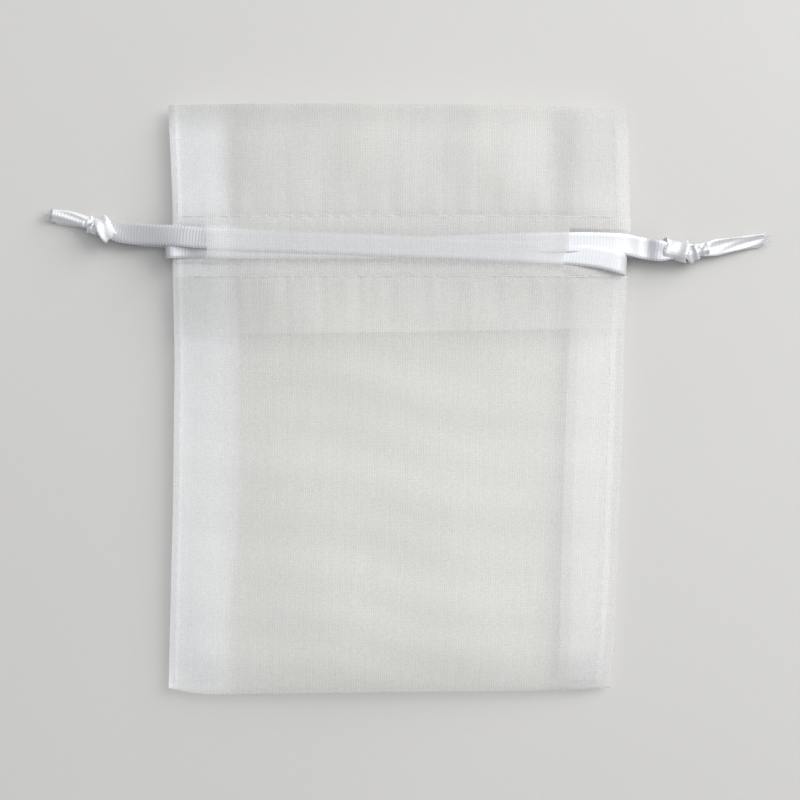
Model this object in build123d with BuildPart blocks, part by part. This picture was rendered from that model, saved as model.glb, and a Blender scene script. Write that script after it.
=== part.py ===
from build123d import *
import math
import os

# Drawstring gift pouch of sheer organza, with two satin ribbon drawstrings.
# Millimetres, +Z up. The pouch lies on its back panel: X runs across its width,
# Y runs from the folded bottom to the open mouth, Z is up from the surface it
# lies on. The origin is under the middle of the cloth.

os.makedirs("parts", exist_ok=True)

# ---------------------------------------------------------------- cloth
pouch_width = 70.6
pouch_height = 90.6
pouch_depth = 8.2        # outside to outside, as the springy cloth stands open
ply = 0.2                # one ply of cloth
half_width = pouch_width / 2
mouth_y = pouch_height / 2
fold_y = -pouch_height / 2

# front panel, seen from the mouth: flat crown, sloping sides, flat side edge
crown_half = 30.2        # half width of the flat crown
edge_flange = 1.8        # width of the flat strip along each side seam
flange_under = 0.5       # height of that strip's underside
bottom_slope = 7.3       # length over which the crown comes down to the fold

# ---------------------------------------------------------------- casing
casing_top_y = 28.2      # upper row of casing stitches
casing_low_y = 18.9      # lower row of casing stitches
facing_edge_y = 10.4     # raw edge of the turned-down facing
facing_half = 29.9
channel = 1.1            # clear height between panel and facing
stitch = 0.2             # thickness of a row of stitches
slit_left_x = -29.9      # inner end of the left slit in the casing
slit_right_x = 25.8      # inner end of the right slit
slit_top_y = casing_top_y
slit_low_y = casing_low_y + 0.2

# ---------------------------------------------------------------- side seams
seam_x = 34.15           # centre of the seam's stitches
seam_thread = 0.3
allowance_short = 27.1   # inner edge of the narrower seam allowance ply
allowance_long = 24.7    # inner edge of the wider one
neck_gap = 0.03          # running clearance of the moving neck pieces
neck_low_y = 28.8
neck_top_y = 44.6

# ---------------------------------------------------------------- drawstrings
ribbon_width = 3.2
ribbon_thick = 0.25
knot_length = 6.4
knot_radius = 1.75

# each drawstring lies in an upright plane that crosses the pouch at a slight angle
left_y0 = 22.85          # its y where it crosses x = 0
left_turn = math.degrees(math.atan2(-2.13, 35.5))
right_y0 = 24.40
right_turn = math.degrees(math.atan2(1.1, 71.2))

# routes (distance along the plane, height), from one tail to the other
left_route = [
    (-54.0, 1.05), (-47.5, 1.75), (-42.0, 3.60), (-36.4, 7.70),
    (35.5, 7.70), (35.5, 0.50),
    (-38.0, 0.50), (-43.0, 0.86), (-48.2, 0.74), (-53.2, 0.36),
]
right_route = [
    (57.2, 0.95), (50.4, 1.25), (44.2, 1.95), (39.0, 3.60), (33.2, 5.75), (27.0, 7.25),
    (-35.2, 7.25), (-35.2, 0.95),
    (31.0, 0.95), (38.2, 0.78), (45.0, 0.84), (50.8, 0.62), (56.2, 0.30),
]


def upright(y0, turn):
    """The upright plane of a drawstring: local x across the pouch, local y up."""
    a = math.radians(turn)
    return Plane(
        origin=(0, y0, 0),
        x_dir=(math.cos(a), math.sin(a), 0),
        z_dir=(math.sin(a), -math.cos(a), 0),
    )


def bend_radii(points):
    """The largest easy bend at each inner point of a route."""
    radii = []
    for a, b, c in zip(points, points[1:], points[2:]):
        r1 = Vector(b[0] - a[0], b[1] - a[1], 0)
        r2 = Vector(c[0] - b[0], c[1] - b[1], 0)
        half = math.radians(r1.get_angle(r2)) / 2
        radii.append(0.45 * min(r1.length, r2.length) / math.tan(half))
    return radii


left_plane = upright(left_y0, left_turn)
right_plane = upright(right_y0, right_turn)


def front_outline(lift=0.0):
    """Outer points of the front panel's cross-section, lowered by lift."""
    return [
        (-half_width, flange_under + ply - lift),
        (-half_width + edge_flange, flange_under + ply - lift),
        (-crown_half, pouch_depth - lift),
        (crown_half, pouch_depth - lift),
        (half_width - edge_flange, flange_under + ply - lift),
        (half_width, flange_under + ply - lift),
    ]


# the whole front of the pouch as a filled block, standing on the back panel
with BuildPart() as filled:
    with BuildSketch(Plane.XZ.offset(-mouth_y)):
        with BuildLine():
            Polyline(
                (-half_width, ply), *front_outline(), (half_width, ply), close=True
            )
        make_face()
    extrude(amount=pouch_height)

# the sloping end that closes the front panel onto the fold
with BuildPart() as fold_end:
    with BuildSketch(Plane.YZ.offset(-half_width)):
        with BuildLine():
            Polyline(
                (fold_y, ply),
                (fold_y + 0.27, ply),
                (fold_y + 0.27 + bottom_slope, pouch_depth),
                (fold_y + bottom_slope, pouch_depth),
                close=True,
            )
        make_face()
    extrude(amount=pouch_width)
    add(filled.part, mode=Mode.INTERSECT)

# ---------------------------------------------------------------- front panel
with BuildPart() as front_panel:
    outer = front_outline()
    side = ply * 1.12
    inner = [
        (half_width, flange_under),
        (half_width - edge_flange - side * 0.35, flange_under),
        (crown_half - side * 0.72, pouch_depth - ply),
        (-crown_half + side * 0.72, pouch_depth - ply),
        (-half_width + edge_flange + side * 0.35, flange_under),
        (-half_width, flange_under),
    ]
    with BuildSketch(Plane.XZ.offset(-mouth_y)):
        with BuildLine():
            Polyline(*outer, *inner, close=True)
        make_face()
    extrude(amount=pouch_height)
    # the crown runs down to the fold at the bottom
    with BuildSketch(Plane.YZ.offset(-half_width)):
        with BuildLine():
            Polyline(
                (fold_y, ply),
                (fold_y + bottom_slope, pouch_depth),
                (mouth_y, pouch_depth),
                (mouth_y, ply),
                close=True,
            )
        make_face()
    extrude(amount=pouch_width, mode=Mode.INTERSECT)
    add(fold_end.part)
    # slits at both ends of the casing, where the drawstrings come out
    with BuildSketch(Plane.XY):
        with Locations(((slit_left_x - half_width - 1) / 2, (slit_top_y + slit_low_y) / 2)):
            Rectangle(half_width + 1 + slit_left_x, slit_top_y - slit_low_y)
        with Locations(((slit_right_x + half_width + 1) / 2, (slit_top_y + slit_low_y) / 2)):
            Rectangle(half_width + 1 - slit_right_x, slit_top_y - slit_low_y)
    extrude(amount=pouch_depth + 1, mode=Mode.SUBTRACT)
front_panel.part.label = "front_panel"
export_step(front_panel.part, "parts/front_panel.step")

# ---------------------------------------------------------------- back panel
with BuildPart() as back_panel:
    with BuildSketch(Plane.XY):
        Rectangle(pouch_width, pouch_height)
        with Locations(((slit_left_x - half_width - 1) / 2, (slit_top_y + slit_low_y) / 2)):
            Rectangle(
                half_width + 1 + slit_left_x, slit_top_y - slit_low_y, mode=Mode.SUBTRACT
            )
        with Locations(((slit_right_x + half_width + 1) / 2, (slit_top_y + slit_low_y) / 2)):
            Rectangle(
                half_width + 1 - slit_right_x, slit_top_y - slit_low_y, mode=Mode.SUBTRACT
            )
    extrude(amount=ply)
back_panel.part.label = "back_panel"
export_step(back_panel.part, "parts/back_panel.step")

# ---------------------------------------------------------------- facings
# Each facing is the top of its panel turned down inside, with the fold at the mouth.
facing_height = mouth_y - facing_edge_y
front_facing_z = pouch_depth - 2 * ply - channel
back_facing_z = ply + channel


def facing_sketch():
    """Flat outline of a facing, with the casing ends open at the slits."""
    with BuildSketch(mode=Mode.PRIVATE) as outline:
        with Locations((0, (mouth_y + facing_edge_y) / 2)):
            Rectangle(2 * facing_half, facing_height)
        with Locations(((slit_right_x + facing_half + 1) / 2, (slit_top_y + slit_low_y) / 2)):
            Rectangle(
                facing_half + 1 - slit_right_x, slit_top_y - slit_low_y, mode=Mode.SUBTRACT
            )
    return outline.sketch


with BuildPart() as front_facing:
    with BuildSketch(Plane.XY.offset(front_facing_z)):
        add(facing_sketch())
    extrude(amount=ply)
    with BuildSketch(Plane.XY.offset(front_facing_z + ply)):
        with Locations((0, mouth_y - ply / 2)):
            Rectangle(2 * facing_half, ply)
    extrude(amount=channel)
front_facing.part.label = "front_facing"
export_step(front_facing.part, "parts/front_facing.step")

with BuildPart() as back_facing:
    with BuildSketch(Plane.XY.offset(back_facing_z)):
        add(facing_sketch())
    extrude(amount=ply)
    with BuildSketch(Plane.XY.offset(ply)):
        with Locations((0, mouth_y - ply / 2)):
            Rectangle(2 * facing_half, ply)
    extrude(amount=channel)
back_facing.part.label = "back_facing"
export_step(back_facing.part, "parts/back_facing.step")

# ---------------------------------------------------------------- casing stitches
# Each row joins a panel to its facing, so it is as tall as the channel it closes.
row_left = slit_left_x
row_right = facing_half

with BuildPart() as front_casing_upper_stitches:
    with BuildSketch(Plane.XY.offset(pouch_depth - ply - channel)):
        with Locations(((row_left + row_right) / 2, casing_top_y + stitch / 2)):
            Rectangle(row_right - row_left, stitch)
    extrude(amount=channel)
front_casing_upper_stitches.part.label = "front_casing_upper_stitches"
export_step(
    front_casing_upper_stitches.part, "parts/front_casing_upper_stitches.step"
)

with BuildPart() as front_casing_lower_stitches:
    with BuildSketch(Plane.XY.offset(pouch_depth - ply - channel)):
        with Locations(((row_left + row_right) / 2, casing_low_y - stitch / 2)):
            Rectangle(row_right - row_left, stitch)
    extrude(amount=channel)
front_casing_lower_stitches.part.label = "front_casing_lower_stitches"
export_step(
    front_casing_lower_stitches.part, "parts/front_casing_lower_stitches.step"
)

with BuildPart() as back_casing_upper_stitches:
    with BuildSketch(Plane.XY.offset(ply)):
        with Locations(((row_left + row_right) / 2, casing_top_y + stitch / 2)):
            Rectangle(row_right - row_left, stitch)
    extrude(amount=channel)
back_casing_upper_stitches.part.label = "back_casing_upper_stitches"
export_step(back_casing_upper_stitches.part, "parts/back_casing_upper_stitches.step")

with BuildPart() as back_casing_lower_stitches:
    with BuildSketch(Plane.XY.offset(ply)):
        with Locations(((row_left + row_right) / 2, casing_low_y - stitch / 2)):
            Rectangle(row_right - row_left, stitch)
    extrude(amount=channel)
back_casing_lower_stitches.part.label = "back_casing_lower_stitches"
export_step(back_casing_lower_stitches.part, "parts/back_casing_lower_stitches.step")

# ---------------------------------------------------------------- side seams, below the casing
# The seam allowances lie inside, two plies of unequal width, stitched near the edge.
seam_low_y = fold_y + 1.0
seam_high_y = 18.4
seam_inner = seam_x - seam_thread / 2
seam_outer = seam_x + seam_thread / 2
allowance_ply = (flange_under - ply) / 2 - 0.02


def allowance(side, low, ply_thick):
    """Stepped cross-section of a seam allowance, on side -1 (left) or +1 (right)."""
    return [
        (side * seam_inner, low),
        (side * allowance_long, low),
        (side * allowance_long, low + ply_thick),
        (side * allowance_short, low + ply_thick),
        (side * allowance_short, low + 2 * ply_thick),
        (side * seam_inner, low + 2 * ply_thick),
    ]


with BuildPart() as left_seam_allowance:
    with BuildSketch(Plane.XZ.offset(-seam_high_y)):
        with BuildLine():
            Polyline(*allowance(-1, ply, allowance_ply), close=True)
        make_face()
    extrude(amount=seam_high_y - seam_low_y)
left_seam_allowance.part.label = "left_seam_allowance"
export_step(left_seam_allowance.part, "parts/left_seam_allowance.step")

with BuildPart() as right_seam_allowance:
    with BuildSketch(Plane.XZ.offset(-seam_high_y)):
        with BuildLine():
            Polyline(*allowance(1, ply, allowance_ply), close=True)
        make_face()
    extrude(amount=seam_high_y - seam_low_y)
right_seam_allowance.part.label = "right_seam_allowance"
export_step(right_seam_allowance.part, "parts/right_seam_allowance.step")

with BuildPart() as left_seam_stitches:
    with BuildSketch(Plane.XY.offset(ply)):
        with Locations((-seam_x, (seam_low_y + seam_high_y) / 2)):
            Rectangle(seam_thread, seam_high_y - seam_low_y)
    extrude(amount=flange_under - ply)
left_seam_stitches.part.label = "left_seam_stitches"
export_step(left_seam_stitches.part, "parts/left_seam_stitches.step")

with BuildPart() as right_seam_stitches:
    with BuildSketch(Plane.XY.offset(ply)):
        with Locations((seam_x, (seam_low_y + seam_high_y) / 2)):
            Rectangle(seam_thread, seam_high_y - seam_low_y)
    extrude(amount=flange_under - ply)
right_seam_stitches.part.label = "right_seam_stitches"
export_step(right_seam_stitches.part, "parts/right_seam_stitches.step")

# ---------------------------------------------------------------- side seams, above the casing
# These travel inwards with the neck when a drawstring is pulled.
neck_low_z = ply + neck_gap
neck_depth = flange_under - ply - 2 * neck_gap

with BuildPart() as left_neck_allowance:
    with BuildSketch(Plane.XZ.offset(-neck_top_y)):
        with BuildLine():
            Polyline(*allowance(-1, neck_low_z, neck_depth / 2), close=True)
        make_face()
    extrude(amount=neck_top_y - neck_low_y)
left_neck_allowance.part.label = "left_neck_allowance"
export_step(left_neck_allowance.part, "parts/left_neck_allowance.step")

with BuildPart() as right_neck_allowance:
    with BuildSketch(Plane.XZ.offset(-neck_top_y)):
        with BuildLine():
            Polyline(*allowance(1, neck_low_z, neck_depth / 2), close=True)
        make_face()
    extrude(amount=neck_top_y - neck_low_y)
right_neck_allowance.part.label = "right_neck_allowance"
export_step(right_neck_allowance.part, "parts/right_neck_allowance.step")

with BuildPart() as left_neck_stitches:
    with BuildSketch(Plane.XY.offset(neck_low_z)):
        with Locations((-seam_x, (neck_low_y + neck_top_y) / 2)):
            Rectangle(seam_thread, neck_top_y - neck_low_y)
    extrude(amount=neck_depth)
left_neck_stitches.part.label = "left_neck_stitches"
export_step(left_neck_stitches.part, "parts/left_neck_stitches.step")

with BuildPart() as right_neck_stitches:
    with BuildSketch(Plane.XY.offset(neck_low_z)):
        with Locations((seam_x, (neck_low_y + neck_top_y) / 2)):
            Rectangle(seam_thread, neck_top_y - neck_low_y)
    extrude(amount=neck_depth)
right_neck_stitches.part.label = "right_neck_stitches"
export_step(right_neck_stitches.part, "parts/right_neck_stitches.step")

# ---------------------------------------------------------------- slit edges
# The strip of cloth between each slit and the side edge. The far drawstring's bend
# wraps round it and pulls it inwards; the near drawstring passes over and under it.
slit_edge_gap = 0.2


def slit_edge(side, inner_x, outer_x):
    """Folded cross-section of a slit's edge: upper leg, rounded side, lower leg."""
    return [
        (side * inner_x, 6.30),
        (side * (outer_x - 1.4), 3.40),
        (side * outer_x, 2.40),
        (side * (outer_x - 1.2), 1.45),
        (side * inner_x, 1.35),
        (side * inner_x, 1.35 + ply),
        (side * (outer_x - 1.3), 1.45 + ply),
        (side * (outer_x - 0.3), 2.40),
        (side * (outer_x - 1.5), 3.40 - ply),
        (side * inner_x, 6.30 - ply),
    ]


with BuildPart() as left_slit_edge:
    with BuildSketch(Plane.XZ.offset(-(slit_top_y - slit_edge_gap))):
        with BuildLine():
            Polyline(*slit_edge(-1, -slit_left_x + 0.3, 34.7), close=True)
        make_face()
    extrude(amount=slit_top_y - slit_low_y - 2 * slit_edge_gap)
left_slit_edge.part.label = "left_slit_edge"
export_step(left_slit_edge.part, "parts/left_slit_edge.step")

with BuildPart() as right_slit_edge:
    with BuildSketch(Plane.XZ.offset(-(slit_top_y - slit_edge_gap))):
        with BuildLine():
            Polyline(*slit_edge(1, slit_right_x + 0.3, 34.9), close=True)
        make_face()
    extrude(amount=slit_top_y - slit_low_y - 2 * slit_edge_gap)
right_slit_edge.part.label = "right_slit_edge"
export_step(right_slit_edge.part, "parts/right_slit_edge.step")

# ---------------------------------------------------------------- drawstrings
# Each ribbon runs from one tail through its knot, across the front casing, round the
# far edge of the neck, back through the back casing, the knot again and the other tail.
with BuildPart() as left_drawstring:
    with BuildSketch(left_plane):
        with BuildLine() as left_line:
            FilletPolyline(*left_route, radius=bend_radii(left_route))
        trace(line_width=ribbon_thick)
    extrude(amount=ribbon_width / 2, both=True)
left_drawstring.part.label = "left_drawstring"
export_step(left_drawstring.part, "parts/left_drawstring.step")

with BuildPart() as right_drawstring:
    with BuildSketch(right_plane):
        with BuildLine() as right_line:
            FilletPolyline(*right_route, radius=bend_radii(right_route))
        trace(line_width=ribbon_thick)
    extrude(amount=ribbon_width / 2, both=True)
right_drawstring.part.label = "right_drawstring"
export_step(right_drawstring.part, "parts/right_drawstring.step")


def knot_at(plane, distance):
    """A point on a drawstring's plane, at the height of its knot's middle."""
    return plane.from_local_coords(Vector(distance, knot_radius + 0.05, 0))


with BuildPart() as left_knot:
    with BuildSketch(Plane(knot_at(left_plane, -47.0), x_dir=(1, 0, 0), z_dir=(0, 0, 1))):
        Ellipse(knot_length / 2, knot_radius)
        with Locations((0, -knot_radius)):
            Rectangle(knot_length, 2 * knot_radius, mode=Mode.SUBTRACT)
    revolve(axis=Axis(knot_at(left_plane, -47.0), (1, 0, 0)), revolution_arc=360)
left_knot.part.label = "left_knot"
export_step(left_knot.part, "parts/left_knot.step")

with BuildPart() as right_knot:
    with BuildSketch(Plane(knot_at(right_plane, 45.0), x_dir=(1, 0, 0), z_dir=(0, 0, 1))):
        Ellipse(knot_length / 2, knot_radius)
        with Locations((0, -knot_radius)):
            Rectangle(knot_length, 2 * knot_radius, mode=Mode.SUBTRACT)
    revolve(axis=Axis(knot_at(right_plane, 45.0), (1, 0, 0)), revolution_arc=360)
right_knot.part.label = "right_knot"
export_step(right_knot.part, "parts/right_knot.step")

# ---------------------------------------------------------------- facts about the ribbons
for name, route, line, plane, solid in (
    ("left", left_route, left_line, left_plane, left_drawstring),
    ("right", right_route, right_line, right_plane, right_drawstring),
):
    length = sum(e.length for e in line.line.edges())
    bulk = length * ribbon_width * ribbon_thick
    print(f"{name} drawstring: {length:.1f} mm along its middle")
    print("  bends, mm:", [round(r, 1) for r in bend_radii(route)])
    print(f"  volume {solid.part.volume:.2f}, section times length {bulk:.2f}")
    spots = [plane.from_local_coords(Vector(x, y, 0)) for x, y in route]
    print("  route:", [(round(p.X, 2), round(p.Y, 2), round(p.Z, 2)) for p in spots])
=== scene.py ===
import math

import bmesh
import bpy
import numpy as np
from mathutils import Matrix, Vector


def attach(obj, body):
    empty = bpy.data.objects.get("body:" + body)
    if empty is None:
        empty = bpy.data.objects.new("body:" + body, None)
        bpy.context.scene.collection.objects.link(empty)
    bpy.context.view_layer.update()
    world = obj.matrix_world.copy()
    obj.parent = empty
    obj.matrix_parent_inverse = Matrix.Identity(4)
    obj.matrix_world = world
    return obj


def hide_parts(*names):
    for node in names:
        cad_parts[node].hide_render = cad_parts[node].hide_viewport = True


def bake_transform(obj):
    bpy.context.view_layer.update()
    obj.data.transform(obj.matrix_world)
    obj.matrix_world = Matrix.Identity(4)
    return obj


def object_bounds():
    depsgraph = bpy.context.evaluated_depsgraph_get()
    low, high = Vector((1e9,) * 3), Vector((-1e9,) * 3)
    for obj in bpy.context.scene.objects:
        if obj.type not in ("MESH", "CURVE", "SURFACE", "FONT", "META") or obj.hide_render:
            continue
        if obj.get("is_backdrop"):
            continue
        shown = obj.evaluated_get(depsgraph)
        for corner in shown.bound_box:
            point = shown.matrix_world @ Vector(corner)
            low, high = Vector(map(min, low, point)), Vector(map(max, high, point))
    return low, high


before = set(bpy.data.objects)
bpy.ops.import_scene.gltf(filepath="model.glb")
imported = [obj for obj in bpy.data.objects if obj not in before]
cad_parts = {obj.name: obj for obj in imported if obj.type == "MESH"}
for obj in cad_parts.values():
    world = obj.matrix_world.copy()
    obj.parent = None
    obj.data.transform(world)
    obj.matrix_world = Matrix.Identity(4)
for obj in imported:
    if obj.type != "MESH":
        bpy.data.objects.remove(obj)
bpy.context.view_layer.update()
MM = 0.001
scene = bpy.context.scene

# ================================================================ camera, light, floor
scene.view_settings.view_transform = "Standard"
scene.view_settings.look = "None"

LENS = 135.0
camera = bpy.data.objects.new("camera", bpy.data.cameras.new("camera"))
camera.data.lens = LENS
camera.data.sensor_width = 36.0
camera.data.clip_start, camera.data.clip_end = 0.02, 10.0
camera.location = (0.00031, -0.00023, 0.003 + 0.1244 * LENS / 36.0)
scene.collection.objects.link(camera)
scene.camera = camera


def area_light(name, place, aim, width, height, power, colour):
    """A soft rectangular light at place, facing aim, in metres and watts."""
    data = bpy.data.lights.new(name, "AREA")
    data.shape = "RECTANGLE"
    data.size, data.size_y = width, height
    data.energy, data.color = power, colour
    lamp = bpy.data.objects.new(name, data)
    scene.collection.objects.link(lamp)
    lamp.location = place
    lamp.rotation_mode = "QUATERNION"
    lamp.rotation_quaternion = (Vector(aim) - Vector(place)).to_track_quat("-Z", "Y")
    return lamp


area_light("key", (0.556, 0.417, 0.400), (0.0, 0.0, 0.0), 0.62, 0.62, 7.4, (1.0, 0.985, 0.96))
area_light("overhead", (0.15, 0.30, 0.90), (0.0, 0.0, 0.0), 0.8, 0.8, 3.5, (0.97, 0.98, 1.0))

world = bpy.data.worlds.new("studio")
scene.world = world
world.use_nodes = True
world.node_tree.nodes["Background"].inputs["Color"].default_value = (0.965, 0.975, 1.0, 1)
world.node_tree.nodes["Background"].inputs["Strength"].default_value = 0.39


# ================================================================ node helpers
class Nodes:
    """Short calls that build a material's nodes."""

    def __init__(self, name):
        self.material = bpy.data.materials.new(name)
        self.material.use_nodes = True
        self.tree = self.material.node_tree
        self.shader = self.tree.nodes["Principled BSDF"]

    def add(self, kind, **settings):
        node = self.tree.nodes.new(kind)
        for key, value in settings.items():
            setattr(node, key, value)
        return node

    def put(self, socket, value):
        if hasattr(value, "is_output"):
            self.tree.links.new(value, socket)
        else:
            socket.default_value = value

    def math(self, operation, a, b=None, c=None, clamp=False):
        node = self.add("ShaderNodeMath", operation=operation, use_clamp=clamp)
        for i, value in enumerate((a, b, c)):
            if value is not None:
                self.put(node.inputs[i], value)
        return node.outputs[0]

    def uv(self, layer):
        node = self.add("ShaderNodeUVMap", uv_map=layer)
        parts = self.add("ShaderNodeSeparateXYZ")
        self.tree.links.new(node.outputs[0], parts.inputs[0])
        return parts.outputs[0], parts.outputs[1]

    def vector(self, x, y, z=0.0):
        node = self.add("ShaderNodeCombineXYZ")
        for i, value in enumerate((x, y, z)):
            self.put(node.inputs[i], value)
        return node.outputs[0]

    def noise(self, vector, scale, detail=2.0, roughness=0.5):
        node = self.add("ShaderNodeTexNoise")
        self.tree.links.new(vector, node.inputs["Vector"])
        node.inputs["Scale"].default_value = scale
        node.inputs["Detail"].default_value = detail
        node.inputs["Roughness"].default_value = roughness
        return node.outputs[0]

    def remap(self, value, a, b, c, d, smooth=False):
        node = self.add("ShaderNodeMapRange")
        if smooth:
            node.interpolation_type = "SMOOTHSTEP"
        self.put(node.inputs[0], value)
        for i, limit in enumerate((a, b, c, d)):
            node.inputs[1 + i].default_value = limit
        return node.outputs[0]

    def mix(self, factor, a, b):
        node = self.add("ShaderNodeMix", data_type="RGBA")
        self.put(node.inputs[0], factor)
        self.put(node.inputs[6], a)
        self.put(node.inputs[7], b)
        return node.outputs[2]

    def bump(self, height, distance, strength):
        node = self.add("ShaderNodeBump")
        self.put(node.inputs["Height"], height)
        node.inputs["Distance"].default_value = distance
        node.inputs["Strength"].default_value = strength
        self.tree.links.new(node.outputs[0], self.shader.inputs["Normal"])

    def set(self, **values):
        for key, value in values.items():
            self.put(self.shader.inputs[key.replace("_", " ")], value)


# ================================================================ materials
SHADE_OF_A_PLY = 0.30


def organza_material(name, pitch, cover, white, seed, sheer=0.20, strips=None, fold=None):
    """Sheer plain weave: fine opaque yarns with open squares between them.
    The weave lies on the cloth's own flat coordinates, 0.01 per millimetre."""
    n = Nodes(name)
    u, v = n.uv("cloth")
    flat = n.vector(u, v, seed)
    # yarns wander a little from straight
    drift = n.noise(n.vector(n.math("MULTIPLY", u, 60.0), n.math("MULTIPLY", v, 9.0), seed), 1.0, 2.0)
    drift_v = n.noise(n.vector(n.math("MULTIPLY", u, 7.0), n.math("MULTIPLY", v, 60.0), seed + 4), 1.0, 2.0)
    # slubs: long soft streaks along the warp, shorter ones along the weft
    warp_slub = n.noise(
        n.vector(n.math("MULTIPLY", u, 100.0), n.math("MULTIPLY", v, 5.0), seed + 1), 1.15, 3.0, 0.6
    )
    weft_slub = n.noise(
        n.vector(n.math("MULTIPLY", u, 8.0), n.math("MULTIPLY", v, 110.0), seed + 2), 1.0, 2.0, 0.5
    )

    def yarns(along, wander, slub, width):
        steps = n.math("ADD", n.math("MULTIPLY", along, 100.0 / pitch), n.math("MULTIPLY", wander, 1.6))
        away = n.math("MULTIPLY", n.math("ABSOLUTE", n.math("SUBTRACT", n.math("FRACT", steps), 0.5)), 2.0)
        half = n.math("MULTIPLY", n.remap(slub, 0.25, 0.75, 0.86, 1.16), width)
        inside = n.math("DIVIDE", n.math("SUBTRACT", n.math("ADD", half, 0.30), away), 0.60, clamp=True)
        return inside, steps

    warp, warp_steps = yarns(u, drift, warp_slub, cover)
    weft, weft_steps = yarns(v, drift_v, weft_slub, cover * 0.9)
    yarn = n.math("MAXIMUM", warp, n.math("MULTIPLY", weft, 0.66))
    # fine filaments stray across the open squares
    mottle = n.noise(n.vector(n.math("MULTIPLY", u, 190.0), n.math("MULTIPLY", v, 120.0), seed + 7), 1.0, 2.0, 0.6)
    specks = n.noise(n.vector(n.math("MULTIPLY", u, 430.0), n.math("MULTIPLY", v, 330.0), seed + 9), 1.0, 1.0, 0.5)
    strays = n.math("ADD", n.remap(mottle, 0.3, 0.7, -0.035, 0.035), n.remap(specks, 0.3, 0.7, -0.075, 0.075))
    haze = n.math("ADD", n.remap(warp_slub, 0.3, 0.72, 0.445, 0.515), strays)
    alpha = n.math("ADD", n.math("MULTIPLY", yarn, sheer), haze, clamp=True)
    # over and under at each crossing
    over = n.math(
        "SINE",
        n.math("MULTIPLY", n.math("ADD", n.math("FLOOR", warp_steps), n.math("FLOOR", weft_steps)), math.pi / 2),
    )
    height = n.math(
        "ADD",
        n.math("MULTIPLY", warp, n.math("ADD", 0.6, n.math("MULTIPLY", over, 0.3))),
        n.math("MULTIPLY", weft, n.math("SUBTRACT", 0.5, n.math("MULTIPLY", over, 0.3))),
    )
    patch = n.noise(flat, 9.0, 3.0, 0.55)
    cool = n.mix(n.remap(patch, 0.35, 0.65, 0.0, 1.0), (*white, 1), tuple(w * f for w, f in zip(white, (1.0, 1.0, 0.985))) + (1,))
    shade = n.mix(
        n.remap(warp_slub, 0.25, 0.8, 0.0, 0.75), cool, tuple(min(1.0, w * 1.03) for w in white) + (1,)
    )
    if strips:  # the cloth is whiter where the seam allowances lie under it; on the left strip, which slopes away from the key lamp, this whitening is also painted light, and the right strip, which slopes towards the lamp, is set greyer as painted shade
        left_line, left_much, right_line, right_much, right_strip_painted_shade_grey = strips
        left_strip_allowance_and_painted_light = n.remap(u, -left_line - 0.018, -left_line + 0.016, left_much, 0.0, smooth=True)
        right_strip_allowance_and_painted_shade = n.remap(u, right_line - 0.016, right_line + 0.016, 0.0, right_much, smooth=True)
        backed = n.math("ADD", left_strip_allowance_and_painted_light, n.math("MULTIPLY", right_strip_allowance_and_painted_shade, 0.3))
        # partly the allowances' white, partly painted light on the left strip
        shade = n.mix(left_strip_allowance_and_painted_light, shade, (0.89, 0.897, 0.903, 1))
        # painted shade: the right strip greyed
        shade = n.mix(right_strip_allowance_and_painted_shade, shade, (right_strip_painted_shade_grey, right_strip_painted_shade_grey, right_strip_painted_shade_grey, 1))
        alpha = n.math("ADD", alpha, n.math("MULTIPLY", backed, 0.09), clamp=True)
        # painted highlight along the very edge, mostly on the left, where its plies also press together and the cloth
        # is denser
        rim = n.math(
            "ADD",
            n.remap(u, -0.358, -0.336, 1.0, 0.0, smooth=True),
            n.remap(u, 0.340, 0.356, 0.0, 0.15, smooth=True),
        )
        shade = n.mix(rim, shade, (0.97, 0.975, 0.98, 1))
        alpha = n.math("ADD", alpha, n.math("MULTIPLY", rim, 0.30), clamp=True)
    if fold:  # painted light low and high on the casing, where the ribbons and the sagging facing shade it, and painted shade along the fold at the mouth, which faces the lamp
        # painted light over the ribbons' shadow on the lower casing
        shade = n.mix(n.remap(v, 0.0, 0.055, 0.85, 0.0, smooth=True), shade, (0.95, 0.95, 0.945, 1))
        high = n.math("ABSOLUTE", n.math("SUBTRACT", v, 0.087))
        # painted light over the shade along the upper casing
        shade = n.mix(n.remap(high, 0.005, 0.020, 0.40, 0.0, smooth=True), shade, (0.93, 0.93, 0.925, 1))
        away = n.math("ABSOLUTE", n.math("SUBTRACT", v, fold))
        # painted shade along the fold at the mouth
        shade = n.mix(n.remap(away, 0.0, 0.05, 0.62, 0.0, smooth=True), shade, (0.65, 0.65, 0.64, 1))
    n.set(
        Base_Color=shade,
        Roughness=n.remap(weft_slub, 0.3, 0.7, 0.42, 0.6),
        Sheen_Weight=0.25,
        Sheen_Roughness=0.4,
        Specular_IOR_Level=0.4,
    )
    n.bump(height, 0.00004, 0.35)
    # light soaks through the yarns, and goes straight through the open squares
    glow = n.add("ShaderNodeBsdfTranslucent")
    n.put(glow.inputs["Color"], shade)
    yarns_lit = n.add("ShaderNodeMixShader")
    yarns_lit.inputs[0].default_value = 0.45
    n.tree.links.new(n.shader.outputs[0], yarns_lit.inputs[1])
    n.tree.links.new(glow.outputs[0], yarns_lit.inputs[2])
    open_squares = n.add("ShaderNodeBsdfTransparent")
    whole = n.add("ShaderNodeMixShader")
    n.put(whole.inputs[0], alpha)
    n.tree.links.new(open_squares.outputs[0], whole.inputs[1])
    n.tree.links.new(yarns_lit.outputs[0], whole.inputs[2])
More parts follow.
